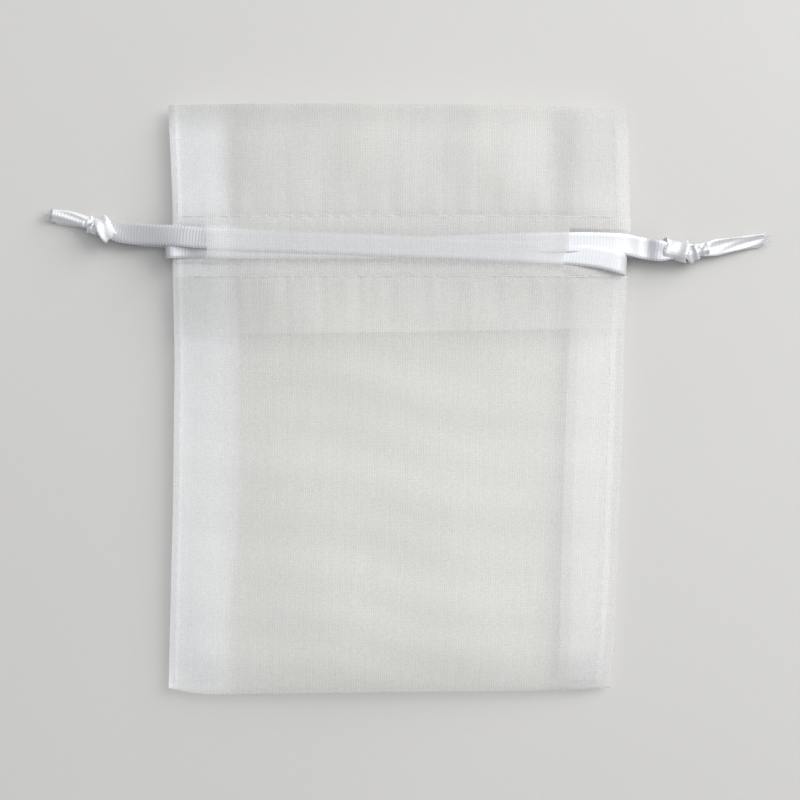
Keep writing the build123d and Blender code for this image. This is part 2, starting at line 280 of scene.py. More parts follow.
    # the filaments are glassy: most of a lamp's light goes on through a ply, so its shadow is pale
    passed_on = n.add("ShaderNodeBsdfTransparent")
    blocked = n.add("ShaderNodeBsdfDiffuse")
    pale_shadow = n.add("ShaderNodeMixShader")
    pale_shadow.inputs[0].default_value = SHADE_OF_A_PLY
    n.tree.links.new(passed_on.outputs[0], pale_shadow.inputs[1])
    n.tree.links.new(blocked.outputs[0], pale_shadow.inputs[2])
    cloth_look = n.add("ShaderNodeMixShader")
    n.tree.links.new(n.add("ShaderNodeLightPath").outputs["Is Shadow Ray"], cloth_look.inputs[0])
    n.tree.links.new(whole.outputs[0], cloth_look.inputs[1])
    n.tree.links.new(pale_shadow.outputs[0], cloth_look.inputs[2])
    n.tree.links.new(cloth_look.outputs[0], n.tree.nodes["Material Output"].inputs["Surface"])
    return n.material


def satin_material(name, tint, rib, tails=False):
    """Satin ribbon: fine ribs across its width, woven edges and a broad sheen.
    Its flat coordinates run 0 to 1 across and 0.01 per millimetre along, from the middle."""
    n = Nodes(name)
    across, along = n.uv("ribbon")
    wander = n.noise(n.vector(n.math("MULTIPLY", across, 3.0), n.math("MULTIPLY", along, 40.0)), 1.0, 3.0, 0.6)
    steps = n.math("ADD", n.math("MULTIPLY", along, 100.0 / rib), n.math("MULTIPLY", wander, 1.3))
    wave = n.math("SINE", n.math("MULTIPLY", steps, 2 * math.pi))
    soft = n.noise(n.vector(n.math("MULTIPLY", across, 9.0), n.math("MULTIPLY", along, 160.0), 3.0), 1.0, 3.0, 0.6)
    edge = n.math("MULTIPLY", n.math("ABSOLUTE", n.math("SUBTRACT", across, 0.5)), 2.0)
    selvedge = n.remap(edge, 0.80, 0.92, 0.0, 1.0, smooth=True)
    groove = n.remap(wave, -1.0, 1.0, 0.0, 1.0)
    deep = tuple(c * 0.94 for c in tint)
    colour = n.mix(n.math("MULTIPLY", groove, n.remap(soft, 0.25, 0.75, 0.45, 1.0)), (*deep, 1), (*tint, 1))
    # the weft turns back at the woven edge in bright little loops
    loops = n.remap(wave, -0.2, 0.6, 0.0, 1.0, smooth=True)
    rim = n.mix(loops, (*[c * 0.88 for c in tint], 1), (*[min(0.97, c * 1.3) for c in tint], 1))
    colour = n.mix(n.math("MULTIPLY", selvedge, 0.62), colour, rim)
    if tails:  # painted light, whiter in blotches, towards the cut ends, and painted shade, a little duller, along the stretches inside the casing
        far = n.math("ABSOLUTE", along)
        inside = n.math("MULTIPLY", n.remap(far, 0.12, 0.18, 0.0, 1.0), n.remap(far, 0.54, 0.60, 1.0, 0.0))
        # painted shade inside the casing
        colour = n.mix(inside, colour, (*[c * 0.82 for c in tint], 1))
        # painted light towards the cut ends
        tail_painted_light = n.remap(n.math("ABSOLUTE", along), 0.81, 0.86, 0.0, 1.0, smooth=True)
        colour = n.mix(n.math("MULTIPLY", tail_painted_light, n.remap(soft, 0.3, 0.7, 0.6, 1.0)), colour, (0.84, 0.845, 0.86, 1))
    n.set(
        Base_Color=colour,
        Roughness=n.remap(soft, 0.25, 0.75, 0.30, 0.46),
        Metallic=0.30,
        Sheen_Weight=0.06,
        Specular_IOR_Level=0.75,
    )
    height = n.math(
        "ADD",
        n.math("MULTIPLY", groove, 0.7),
        n.math("ADD", n.math("MULTIPLY", soft, 0.6), n.math("MULTIPLY", selvedge, 0.6)),
    )
    n.bump(height, 0.00005, 0.40)
    return n.material


def thread_material(name):
    """Twisted sewing thread; its flat coordinates run round and along, 0.01 per millimetre."""
    n = Nodes(name)
    around, along = n.uv("thread")
    twist = n.math(
        "SINE", n.math("ADD", n.math("MULTIPLY", along, 2400.0), n.math("MULTIPLY", around, 2 * math.pi))
    )
    fuzz = n.noise(n.vector(n.math("MULTIPLY", around, 4.0), n.math("MULTIPLY", along, 500.0)), 1.0, 2.0)
    n.set(
        Base_Color=n.mix(n.remap(twist, -1, 1, 0, 1), (0.64, 0.645, 0.65, 1), (0.74, 0.74, 0.74, 1)),
        Roughness=n.remap(fuzz, 0.3, 0.7, 0.4, 0.65),
        Sheen_Weight=0.3,
    )
    n.bump(n.math("ADD", twist, fuzz), 0.00003, 0.6)
    return n.material


def floor_material():
    n = Nodes("pale_board")
    coords = n.add("ShaderNodeTexCoord").outputs["Object"]
    grain = n.noise(coords, 900.0, 3.0, 0.6)
    cloud = n.noise(coords, 14.0, 2.0, 0.5)
    tone = n.mix(n.remap(cloud, 0.3, 0.7, 0.0, 1.0), (0.566, 0.562, 0.550, 1), (0.582, 0.578, 0.566, 1))
    n.set(Base_Color=n.mix(n.math("MULTIPLY", grain, 0.22), tone, (0.50, 0.498, 0.49, 1)), Roughness=0.75, Specular_IOR_Level=0.2)
    n.bump(grain, 0.00004, 0.25)
    return n.material


# one organza in several copies: the neck's copy is set greyer than the pocket's, as painted shade
pocket_cloth = organza_material("organza_pocket", 0.345, 0.27, (0.825, 0.825, 0.813), 0.0, strips=(0.256, 1.0, 0.245, 0.9, 0.765))
neck_cloth = organza_material("organza_neck", 0.345, 0.27, (0.785, 0.787, 0.780), 5.0, strips=(0.266, 1.0, 0.24, 0.9, 0.70), fold=0.264)
inner_cloth = organza_material("organza_facing", 0.352, 0.27, (0.80, 0.80, 0.795), 11.0)
seam_cloth = organza_material("organza_allowance", 0.338, 0.30, (0.88, 0.885, 0.89), 23.0, sheer=0.24)
satin = satin_material("satin_ribbon", (0.63, 0.645, 0.67), 0.50, tails=True)
# the knots' satin: lighter copies of the ribbon's satin, painted light where the crumpled knots catch the lamp; the
# right knot's copy has a little less
knot_satin_painted_light = satin_material("satin_knot", (0.84, 0.85, 0.87), 0.50)
knot_satin_less_painted_light = satin_material("satin_knot_less_painted_light", (0.70, 0.715, 0.735), 0.50)
thread = thread_material("sewing_thread")


# ================================================================ mesh helpers
def make_mesh(name, verts, faces, layer, uvs, material, merge=None):
    """A mesh piece from points in millimetres; uvs has one pair for each vertex."""
    mesh = bpy.data.meshes.new(name)
    mesh.from_pydata((np.asarray(verts) * MM).tolist(), [], [list(map(int, f)) for f in faces])
    mesh.update()
    uv = mesh.uv_layers.new(name=layer)
    loops = np.zeros(len(mesh.loops), int)
    mesh.loops.foreach_get("vertex_index", loops)
    uv.data.foreach_set("uv", np.asarray(uvs, float)[loops].astype(np.float32).ravel())
    mesh.polygons.foreach_set("use_smooth", [True] * len(mesh.polygons))
    mesh.materials.append(material)
    obj = bpy.data.objects.new(name, mesh)
    scene.collection.objects.link(obj)
    if merge:
        bm = bmesh.new()
        bm.from_mesh(mesh)
        bmesh.ops.remove_doubles(bm, verts=bm.verts, dist=merge * MM)
        bm.to_mesh(mesh)
        bm.free()
        mesh.update()
    return obj


def grid(points, uvs, keep=None):
    """Vertices, faces and uvs of a grid of points, rows by columns, without the cells that keep drops."""
    rows, cols = points.shape[:2]
    index = np.arange(rows * cols).reshape(rows, cols)
    quads = np.stack([index[:-1, :-1], index[:-1, 1:], index[1:, 1:], index[1:, :-1]], -1)
    quads = quads.reshape(-1, 4) if keep is None else quads[keep]
    used = np.unique(quads)
    renumber = np.full(rows * cols, -1)
    renumber[used] = np.arange(len(used))
    return points.reshape(-1, 3)[used], renumber[quads], uvs.reshape(-1, 2)[used]


def join(*grids):
    """Several grids as one list of vertices, faces and uvs."""
    verts, faces, uvs, count = [], [], [], 0
    for v, f, t in grids:
        verts.append(v)
        faces.append(np.asarray(f) + count)
        uvs.append(t)
        count += len(v)
    return np.concatenate(verts), np.concatenate(faces), np.concatenate(uvs)


def table(xs, values, blur):
    """A smooth function through (xs, values), rounded off over about blur."""
    order = np.argsort(xs)
    fine = np.arange(-70, 70.001, 0.05)
    v = np.interp(fine, np.array(xs, float)[order], np.array(values, float)[order])
    half = max(1, int(3 * blur / 0.05))
    g = np.exp(-0.5 * (np.arange(-half, half + 1) * 0.05 / blur) ** 2)
    v = np.convolve(np.pad(v, half, mode="edge"), g / g.sum(), mode="valid")
    return lambda t: np.interp(t, fine, v)


def smooth(t):
    t = np.clip(t, 0, 1)
    return t * t * (3 - 2 * t)


# ================================================================ drawstrings
# Control points in millimetres, from one tail through the knot, across the front
# casing, round the far edge of the neck and back. 3.2 mm satin ribbon.
RIBBON = 3.2
LEFT_ROUTE = [
    (-54.2, 28.65, 0.95), (-50.5, 28.2, 1.35), (-47.5, 27.2, 1.8), (-43.6, 25.85, 2.1), (-39.0, 25.5, 3.3),
    (-34.5, 25.3, 4.55), (-30.5, 24.85, 5.0), (-24.0, 24.5, 5.85), (-15.0, 24.15, 6.35), (10.0, 23.15, 6.4),
    (24.0, 22.55, 5.75), (31.0, 21.95, 5.2), (35.5, 20.75, 4.8), (35.5, 20.75, 0.38),
    (16.4, 22.4, 0.36), (-17.0, 23.9, 0.36), (-37.9, 25.2, 0.42), (-43.4, 25.75, 0.9), (-47.5, 27.0, 1.0),
    (-50.3, 27.9, 0.75), (-53.5, 28.2, 0.45),
]
RIGHT_ROUTE = [
    (57.3, 24.9, 1.0), (52.4, 24.1, 1.3), (48.5, 23.3, 1.6), (43.5, 22.85, 2.4), (40.6, 22.95, 3.1), (38.3, 23.35, 1.75),
    (35.5, 23.95, 4.3), (31.0, 24.1, 5.1), (26.0, 24.12, 5.7), (16.0, 23.9, 6.1), (0.0, 23.2, 6.1),
    (-16.6, 23.2, 6.05), (-24.0, 23.3, 5.5), (-30.0, 23.45, 4.75), (-33.2, 23.45, 3.7), (-36.2, 23.35, 4.3), (-36.05, 23.5, 0.72),
    (-16.6, 23.7, 0.68), (16.0, 24.1, 0.68), (31.0, 24.1, 0.68), (36.5, 23.6, 0.72), (40.6, 22.95, 0.8),
    (45.0, 22.9, 0.95), (50.8, 23.6, 0.72), (56.4, 24.6, 0.42),
]


def spline_points(name, route, fineness=24):
    """Points in millimetres along the smooth spline that has the route as its control points."""
    curve = bpy.data.curves.new(name, "CURVE")
    curve.dimensions = "3D"
    spline = curve.splines.new("NURBS")
    spline.points.add(len(route) - 1)
    for point, (x, y, z) in zip(spline.points, route):
        point.co = (x * MM, y * MM, z * MM, 1.0)
    spline.order_u = 3
    spline.use_endpoint_u = True
    spline.resolution_u = fineness
    obj = bpy.data.objects.new(name, curve)
    scene.collection.objects.link(obj)
    bpy.context.view_layer.update()
    mesh = bpy.data.meshes.new_from_object(obj)
    points = np.array([v.co for v in mesh.vertices], float) / MM
    bpy.data.objects.remove(obj)
    bpy.data.curves.remove(curve)
    bpy.data.meshes.remove(mesh)
    keep = np.concatenate([[True], np.linalg.norm(np.diff(points, axis=0), axis=1) > 1e-4])
    return points[keep]


def lengths(points):
    return np.concatenate([[0], np.cumsum(np.linalg.norm(np.diff(points, axis=0), axis=1))])


def unit(v):
    return v / np.maximum(np.linalg.norm(v, axis=-1, keepdims=True), 1e-12)


def sweep(points, side, width, bow=None, twist=None, thick=0.17, across=9, fold=None, belly=0.0):
    """A ribbon swept along points: side is its width direction, bow how far its middle
    stands proud of its edges, twist an angle about its length, fold a crumple across it,
    belly how much thicker its middle is than its edges. It never goes below the table."""
    s = lengths(points)
    tangent = unit(np.gradient(points, axis=0))
    side = np.broadcast_to(np.asarray(side, float), points.shape)
    side = unit(side - (side * tangent).sum(1, keepdims=True) * tangent)
    up = np.cross(tangent, side)
    angle = np.zeros(len(s)) if twist is None else np.asarray(twist, float)
    w = side * np.cos(angle)[:, None] + up * np.sin(angle)[:, None]
    n = np.cross(tangent, w)
    width = np.broadcast_to(np.asarray(width, float), len(s))
    bow = np.zeros(len(s)) if bow is None else np.asarray(bow, float)
    fold = np.zeros(len(s)) if fold is None else np.asarray(fold, float)
    k = np.linspace(-1, 1, across)
    upper, lower = [], []
    for j in k:
        lift = bow * (1 - j * j) + fold * np.sin(j * 5.2 + s * 0.9)
        edge_thick = thick * (1.0 if abs(j) < 0.99 else 0.72) * (1.18 if 0.7 < abs(j) < 0.99 else 1.0)
        edge_thick += belly * (1 - j * j)
        mid = points + w * (j * width / 2)[:, None] + n * lift[:, None]
        upper.append(mid + n * edge_thick / 2)
        lower.append(mid - n * edge_thick / 2)
    outer_l = points + w * (-1.0 * width / 2 - 0.05)[:, None] + n * (fold * np.sin(-5.2 + s * 0.9))[:, None]
    outer_r = points + w * (1.0 * width / 2 + 0.05)[:, None] + n * (fold * np.sin(5.2 + s * 0.9))[:, None]
    ring = upper + [outer_r] + lower[::-1] + [outer_l]
    across_uv = list((k + 1) / 2) + [1.0] + list((k[::-1] + 1) / 2) + [0.0]
    ring_points = np.stack(ring, 1)
    ring_points[..., 2] = np.maximum(ring_points[..., 2], 0.03)
    rows, cols = ring_points.shape[:2]
    index = np.arange(rows * cols).reshape(rows, cols)
    nxt = np.roll(index, -1, axis=1)
    faces = np.stack([index[:-1], nxt[:-1], nxt[1:], index[1:]], -1).reshape(-1, 4).tolist()
    faces.append(index[0][::-1].tolist())
    faces.append(index[-1].tolist())
    middle = (s[:, None] - s[-1] / 2) * 0.01
    uvs = np.stack([np.broadcast_to(across_uv, (rows, cols)), np.broadcast_to(middle, (rows, cols))], -1)
    return ring_points.reshape(-1, 3), faces, uvs.reshape(-1, 2)


def join_lists(*parts):
    verts, faces, uvs, count = [], [], [], 0
    for v, f, t in parts:
        verts.append(v)
        faces += [[i + count for i in face] for face in f]
        uvs.append(t)
        count += len(v)
    return np.concatenate(verts), faces, np.concatenate(uvs)


def resample(points, step):
    s = lengths(points)
    t = np.linspace(0, s[-1], max(8, int(s[-1] / step)))
    return np.stack([np.interp(t, s, points[:, i]) for i in range(3)], 1)


def drawstring(name, route, body, side, front, back, node):
    """front and back give (distance from that tail, width share, bow, twist in degrees, fold)."""
    points = resample(spline_points(name + "_route", route), 0.45)
    s = lengths(points)
    total = s[-1]

    def along(column):
        a = np.interp(s, [r[0] for r in front], [r[column] for r in front])
        b = np.interp(total - s, [r[0] for r in back], [r[column] for r in back])
        return np.where(s < total / 2, a, b)

    verts, faces, uvs = sweep(
        points,
        side,
        RIBBON * along(1),
        bow=along(2),
        twist=np.radians(along(3)),
        fold=along(4),
    )
    obj = make_mesh(name, verts, faces, "ribbon", uvs, satin)
    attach(obj, body)
    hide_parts(node)
    print(f"{name}: {total:.1f} mm long")
    return obj, points, total


left_side = (2.13, 35.5, 0.0)
right_side = (-1.1, 71.2, 0.0)
left_ribbon, left_path, left_length = drawstring(
    "left_drawstring_ribbon", LEFT_ROUTE, "left_cord", left_side,
    [(0, 0.60, 0.32, 28, 0.10), (2.5, 0.66, 0.30, 16, 0.12), (5.5, 0.52, 0.22, 4, 0.10), (9.3, 0.70, 0.20, -4, 0.06),
     (11.0, 1.0, 0.16, -2, 0.02), (14.0, 1.0, 0.08, 4, 0.0), (17.0, 0.93, 0.04, 8, 0.0), (21.0, 1.0, 0.02, 0, 0.0)],
    [(0, 0.60, -0.22, -14, 0.10), (2.5, 0.60, -0.22, -10, 0.10), (5.0, 0.45, -0.15, 0, 0.08), (9.3, 0.60, -0.15, 3, 0.05),
     (11.5, 0.92, -0.08, 2, 0.02), (17, 0.96, 0.0, 0, 0.0), (24, 1.0, 0.0, 0, 0.0)],
    "left_drawstring",
)
right_ribbon, right_path, right_length = drawstring(
    "right_drawstring_ribbon", RIGHT_ROUTE, "right_cord", right_side,
    [(0, 0.58, 0.34, -30, 0.10), (4.0, 0.62, 0.32, -20, 0.12), (7.8, 0.80, 0.25, -8, 0.10), (10.5, 0.55, 0.15, 0, 0.10),
     (15.0, 0.70, 0.20, 4, 0.08), (16.6, 1.0, 0.14, 0, 0.03), (20, 1.0, 0.04, 0, 0.0), (31, 1.0, 0.02, 0, 0.0)],
    [(0, 0.55, -0.20, 12, 0.10), (4.0, 0.60, -0.20, 10, 0.10), (8.0, 0.68, -0.18, 4, 0.08), (10.5, 0.50, -0.12, 0, 0.06),
     (15.5, 0.60, -0.12, 0, 0.05), (18, 0.92, -0.06, 0, 0.02), (24, 0.98, 0.0, 0, 0.0), (31, 1.0, 0.0, 0, 0.0)],
    "right_drawstring",
)

# ================================================================ the cloth's shape, in millimetres
ROW_LOW, ROW_HIGH = 18.9, 28.2
left_edge = table([45.6, 30.2, 20.0, 6.5, -17.3, -37.2, -45.2], [-35.8, -35.1, -35.1, -34.8, -35.1, -35.6, -35.8], 1.5)
right_edge = table(
    [44.9, 27.1, 19.2, 10.3, -1.5, -17.3, -29.3, -37.2, -44.4], [35.9, 36.4, 35.9, 35.3, 35.1, 34.5, 34.1, 33.7, 33.0], 1.5
)
mouth_line = table([-36, -30, 0, 30, 36], [45.65, 45.5, 45.3, 45.0, 44.9], 3.0)
bottom_line = table([-36, -33, -29.4, -20, 0, 20, 30, 34], [-45.1, -45.8, -46.2, -46.0, -45.75, -45.6, -45.4, -45.1], 1.2)
facing_line = table([-36, -24, 0, 25, 36], [9.9, 10.0, 10.3, 10.8, 10.9], 3.0)
crown = table([46, 40, 34, 29, 18, 10, 0, -20, -36, -46], [6.85, 6.6, 6.45, 6.5, 6.5, 6.45, 6.35, 6.2, 6.0, 5.9], 2.0)
fall = table([46, 40, 33, 28, 19, 14, 6, -46], [29.0, 29.0, 23.0, 16.0, 16.0, 21.0, 28.0, 29.0], 1.8)
rise = table([46, 31, 17, 8, -46], [9.0, 5.0, 5.0, 9.0, 9.0], 1.5)
edge_height = table([46, 36, 30, 24, 18, 10, 0, -30, -46], [2.0, 2.1, 2.2, 2.4, 2.2, 2.1, 2.0, 1.8, 1.3], 1.5)
steep = table([46, 33, 28, 19, 12, -46], [0.05, 0.10, 0.25, 0.25, 0.09, 0.05], 1.5)
SLIT = {-1: (29.9, 21.4, 26.7), 1: (25.8, 19.1, 26.3)}
BEND = {-1: (21.6, 25.4, 0.25), 1: (18.9, 22.9, 1.1)}
FLOOR_GAP = 0.07
FOLD = 1.5  # height of the fold at the bottom


def window(y, low, high, ramp):
    return smooth((y - low) / ramp) * smooth((high - y) / ramp)


pressed_low = {
    -1: table([-36, -30], [21.75, 21.75], 1.0),
    1: table([25.8, 31.0, 34.0, 35.5], [20.75, 20.2, 19.65, 19.2], 0.8),
}


press_depth = table([25.8, 28.0, 31.0, 34.0, 36.0], [0.80, 0.66, 0.36, 0.2, 0.15], 0.8)


def pressed(side, x, y):
    """How far the strip outside a slit is pressed down by the ribbons on it, in millimetres."""
    low = pressed_low[side](x) - 0.35
    if side > 0:
        return press_depth(x) * window(y, low, SLIT[side][2], 0.55)
    return 0.52 * window(y, low, 25.7, 0.55) + 0.28 * window(y, low, 27.2, 0.6)


def edge_x(side, y):
    """Side edge of the cloth, drawn in a little where a ribbon bends round it."""
    low, high, pull = BEND[side]
    return (left_edge(y) if side < 0 else right_edge(y)) - side * pull * window(y, low, high, 0.7)


def casing(y):
    """How far the casing stands puffed between its two rows of stitches, 0 to 1."""
    s = np.clip((y - ROW_LOW) / (ROW_HIGH - ROW_LOW), 0, 1)
    return np.sin(math.pi * s) ** 0.6


def grooves(y):
    return 0.6 * np.exp(-(((y - ROW_LOW) / 0.5) ** 2)) + np.exp(-(((y - ROW_HIGH) / 0.5) ** 2))


def ripple(x, y):
    """Low waves of the loose cloth, and fine puckers beside the rows of stitches."""
    body = smooth((16 - y) / 12)
    head = smooth((y - 30) / 6)
    wave = (
        0.17 * np.sin(2 * math.pi * (y / 17.3 + 0.10 * np.sin(x / 9.1 + 0.7)) + 0.6)
        + 0.12 * np.sin(2 * math.pi * (x / 23.0 + y / 61.0) + 1.9)
        + 0.07 * np.sin(2 * math.pi * (y / 7.7 + x / 43.0) + 0.4 + 0.8 * np.sin(x / 6.0))
    )
    top = 0.14 * np.sin(2 * math.pi * (x / 19.0 + y / 90.0) + 0.3) + 0.06 * np.sin(2 * math.pi * (x / 8.3 - y / 33.0) + 1.0)
    outside = np.clip(np.maximum(ROW_LOW - y, y - ROW_HIGH), 0, None)
    near = np.where((y > ROW_LOW) & (y < ROW_HIGH), 0, np.exp(-outside / 5.0) * (1 - np.exp(-outside / 0.6)))
    pleats = near * (
        0.06 * np.sin(2 * math.pi * x / 5.1 + 0.9 * np.sin(x / 3.7)) + 0.03 * np.sin(2 * math.pi * x / 2.7 + 1.3)
    )
    pucker = 0.028 * grooves(y) * np.sin(2 * math.pi * x / 1.9 + 0.7 * np.sin(x / 2.3))
    return body * wave + head * top + pleats + pucker


def roll(d):
    """Rounded turn of the cloth at the very edge."""
    t = np.clip(d / 0.5, 0, 1)
    return 0.28 * np.sqrt(np.clip(1 - (1 - t) ** 2, 0, 1))


SEAM_IN = {-1: 0.9, 1: 2.3}


def front_level(side, x, y, strip=False):
    """Height of the front panel's cloth."""
    d = np.clip(side * (edge_x(side, y) - x), 0, None)
    low = edge_height(y)
    turned = np.sqrt(1 - (1 - np.clip(d / 1.3, 0, 1)) ** 2)
    swell = 1 - (1 - np.clip(d / fall(y), 0, 1)) ** 2
    high = crown(y) + 0.33 * casing(y) - 0.10 * grooves(y) + ripple(x, y)
    ridge = (0.09 if side > 0 else 0.07) * np.exp(-(((d - SEAM_IN[side]) / 0.35) ** 2))
    share = steep(y)
    z = low + (high - low) * (share * turned + (1 - share) * swell) + ridge * smooth(d / 0.4)
    if strip:
        z = z - (pressed(side, x, y) + 0.08 * window(y, 19.6, 27.4, 0.5)) * smooth(d / 0.9)
    return z


def gape(side, x, y):
    """How far the casing's end stands open over the left slit, so that the ribbon can be drawn out under it."""
    if side > 0:
        return 0.0
    return 1.25 * np.exp(-(((x + SLIT[-1][0]) / 4.2) ** 2)) * window(y, SLIT[-1][1] - 0.4, SLIT[-1][2], 0.6)


def back_level(side, x, y, strip=False):
    """Height of the back panel's cloth, which lies on the table."""
    d = side * (edge_x(side, y) - x)
    low = edge_height(y)
    z = FLOOR_GAP + (low - FLOOR_GAP) * (1 - np.clip(d / rise(y), 0, 1)) ** 2
    z = z - np.minimum(roll(d), np.maximum(z - FLOOR_GAP, 0) * 0.6)
    z = np.where(d < 1e-9, low, z)
    z = z + 0.02 * (1 + np.sin(x / 5.3 + y / 7.1))
    if strip:
        gap = side * (edge_x(side, y)) - SLIT[side][0]
        t = 1 - (1 - np.clip(d / gap, 0, 1)) ** 2
        over = low - (low - 1.35) * t
        z = z + (over - z) * window(y, SLIT[side][1] - 0.5, SLIT[side][2], 0.6)
    return z


def facing_gap(y):
    """Distance from a panel to its facing."""
    return 0.20 + 0.10 * smooth((y - ROW_HIGH) / 4) + 0.22 * smooth((ROW_LOW - y) / 6) + 0.98 * casing(y)


# columns run from the middle (0) to the side edge (1); the slit has a column of its own
def columns(side):
    inner = np.linspace(0, SLIT[side][0] / 35.3, 58 if side < 0 else 50)
    outer = np.linspace(SLIT[side][0] / 35.3, 1 - 1.6 / 35.3, 9 if side < 0 else 17)[1:]
    rim = 1 - (1.6 / 35.3) * np.array([0.85, 0.7, 0.56, 0.44, 0.34, 0.26, 0.18, 0.11, 0.06, 0.025, 0.0])
    return inner, np.concatenate([inner[-1:], outer, rim])


def flat_uv(points):
    """Flat coordinates of a grid of points, measured along its rows and columns."""
    across = np.zeros(points.shape[:2])
    across[:, 1:] = np.cumsum(np.linalg.norm(np.diff(points, axis=1), axis=2), axis=1)
    mean = across.mean(0)
    sign = np.sign(points[:, -1, 0].mean() - points[:, 0, 0].mean())
    down = np.zeros(points.shape[0])
    down[1:] = np.cumsum(np.linalg.norm(np.diff(points, axis=0), axis=2).mean(1))
    u = points[:, :1, 0].mean() + sign * np.broadcast_to(mean, across.shape)
    return np.stack([u, np.broadcast_to(down[:, None], across.shape)], -1) * 0.01


def row_lines(low, high, step):
    """Rows from low to high, closer together beside the stitches."""
    rows = list(np.arange(low, high, step))
    for r in (ROW_LOW, ROW_HIGH):
        rows += [r + o for o in (-0.9, -0.6, -0.35, -0.18, 0, 0.18, 0.35, 0.6, 0.9)]
    for lo, hi in ((SLIT[-1][1], SLIT[-1][2]), (SLIT[1][1], SLIT[1][2])):
        rows += [lo, hi - 0.55, hi - 0.28, hi]
    rows = sorted(r for r in rows if low <= r <= high) + [high]
    kept = [rows[0]]
    for r in rows[1:]:
        if r - kept[-1] > 0.12:
            kept.append(r)
    if kept[-1] != high:
        kept[-1] = high
    if kept[0] != low:
        kept.insert(0, low)
    return np.array(kept)


def neck_sheet(side, level, inward):
    """One half of a neck panel: its cloth from the lower row of stitches up to the mouth,
    over the fold and down inside as the facing. inward is -1 on the front, +1 on the back."""
    parts = []
    inner, outer = columns(side)
    rows = row_lines(ROW_LOW, 45.0, 0.5)
    for cols, strip in ((inner, False), (outer, True)):
        c = cols[None, :]

        def stretched(rows, c):
            y0 = np.broadcast_to(rows[:, None], (len(rows), c.shape[1]))
            x = c * edge_x(side, y0)
            top = mouth_line(x)
            return np.where(y0 > 31, 31 + (y0 - 31) * (top - 31) / (45.0 - 31), y0)

        y = stretched(rows, c)
        x = c * edge_x(side, y)
        z = level(side, x, y, strip)
        if inward < 0 and not strip:
            z = z + gape(side, x, y)
        outer_sheet = np.stack([x, y, z], -1)
        # fold at the mouth
        gap = facing_gap(y[-1])
        turns = np.linspace(0, math.pi, 9)[1:-1]
        fold = []
        for a in turns:
            fold.append(
                np.stack(
                    [x[-1], y[-1] + 0.5 * gap * np.sin(a), z[-1] + inward * gap / 2 * (1 - np.cos(a))], -1
                )
            )
        # facing, a little short of the side seam
        yi = y[::-1]
        xi = np.where(c > 0.985, 0.985 + (c - 0.985) * 0.3, c) * edge_x(side, yi)
        d = side * (edge_x(side, yi) - xi)
        front = front_level(side, xi, yi)
        back = back_level(side, xi, yi)
        room = np.clip((front - back) * 0.22, 0.03, None)
        sag = np.minimum(1.05 * casing(yi) ** 1.5 * smooth((28 - np.abs(xi)) / 4), room * 0.8)  # round both ribbons
        zi = level(side, xi, yi, False) + inward * (np.minimum(facing_gap(yi), room) + sag)
        inner_sheet = np.stack([xi, yi, zi], -1)
        points = np.concatenate([outer_sheet, np.stack(fold), inner_sheet])
        keep = np.ones((points.shape[0] - 1, points.shape[1] - 1), bool)
        if strip:  # no facing where the ribbons come out of the slit
            start = len(rows) + len(fold)
            mid = (yi[:-1, 0] + yi[1:, 0]) / 2
            cut = (mid > SLIT[side][1] - 0.3) & (mid < SLIT[side][2] - (0.5 if side > 0 else 0.2))
            keep[start : start + len(mid)][cut] = False
        parts.append((points, keep))
    whole = np.concatenate([parts[0][0], parts[1][0][:, 1:]], 1)
    uv = flat_uv(whole)
    split = parts[0][0].shape[1]
    a = grid(parts[0][0], uv[:, :split], parts[0][1])
    b = grid(parts[1][0], uv[:, split - 1 :], parts[1][1])
    return join(a, b)


def pocket_sheet(side):
    """One half of the pocket: front, round the fold at the bottom, and back, in one sheet."""
    inner, outer = columns(side)
    c = np.concatenate([inner, outer[1:]])[None, :]
    rows = row_lines(-34.0, ROW_LOW, 0.62)[::-1]
    REACH, TURN = 8.5, 3.0

    def at(y0):
        x = c * edge_x(side, y0)
        return x, bottom_line(x)

    def level_with_end(level, x, y, reach):
        b = bottom_line(x)
        t = np.clip((y - b) / reach, 0, 1)
        q = np.sqrt(np.clip(1 - (1 - t) ** 2, 0, 1))
        fold = np.minimum(FOLD, 0.5 * (front_level(side, x, y) + back_level(side, x, y)))
        return fold + (level(side, x, y) - fold) * q

    lines = []
    for y0 in rows:  # front, downwards
        y = np.full(c.shape, y0)
        x = c * edge_x(side, y)
        lines.append((x, y, level_with_end(front_level, x, y, REACH)))
    # front end: from y -34 to the fold, evenly round the quarter turn
    x, b = at(np.full(c.shape, -40.0))
    for a in np.linspace(0, math.pi / 2, 27)[1:]:
        y = b + (-34.0 - b) * (np.cos(a) ** 1.35)
        xx = c * edge_x(side, y)
        lines.append((xx, y, level_with_end(front_level, xx, y, REACH)))
    for a in np.linspace(0, math.pi / 2, 9)[1:]:
        y = b + TURN * (1 - np.cos(a))
        xx = c * edge_x(side, y)
        lines.append((xx, y, level_with_end(back_level, xx, y, TURN)))
    start = b + TURN
    for t in np.linspace(0, 1, 16)[1:]:
        y = start + (-34.0 - start) * t
        xx = c * edge_x(side, y)
        lines.append((xx, y, level_with_end(back_level, xx, y, TURN)))
    for y0 in rows[::-1][1:]:
        y = np.full(c.shape, y0)
        x = c * edge_x(side, y)
        lines.append((x, y, level_with_end(back_level, x, y, TURN)))
    points = np.concatenate([np.stack(l, -1) for l in lines])
    return grid(points, flat_uv(points))


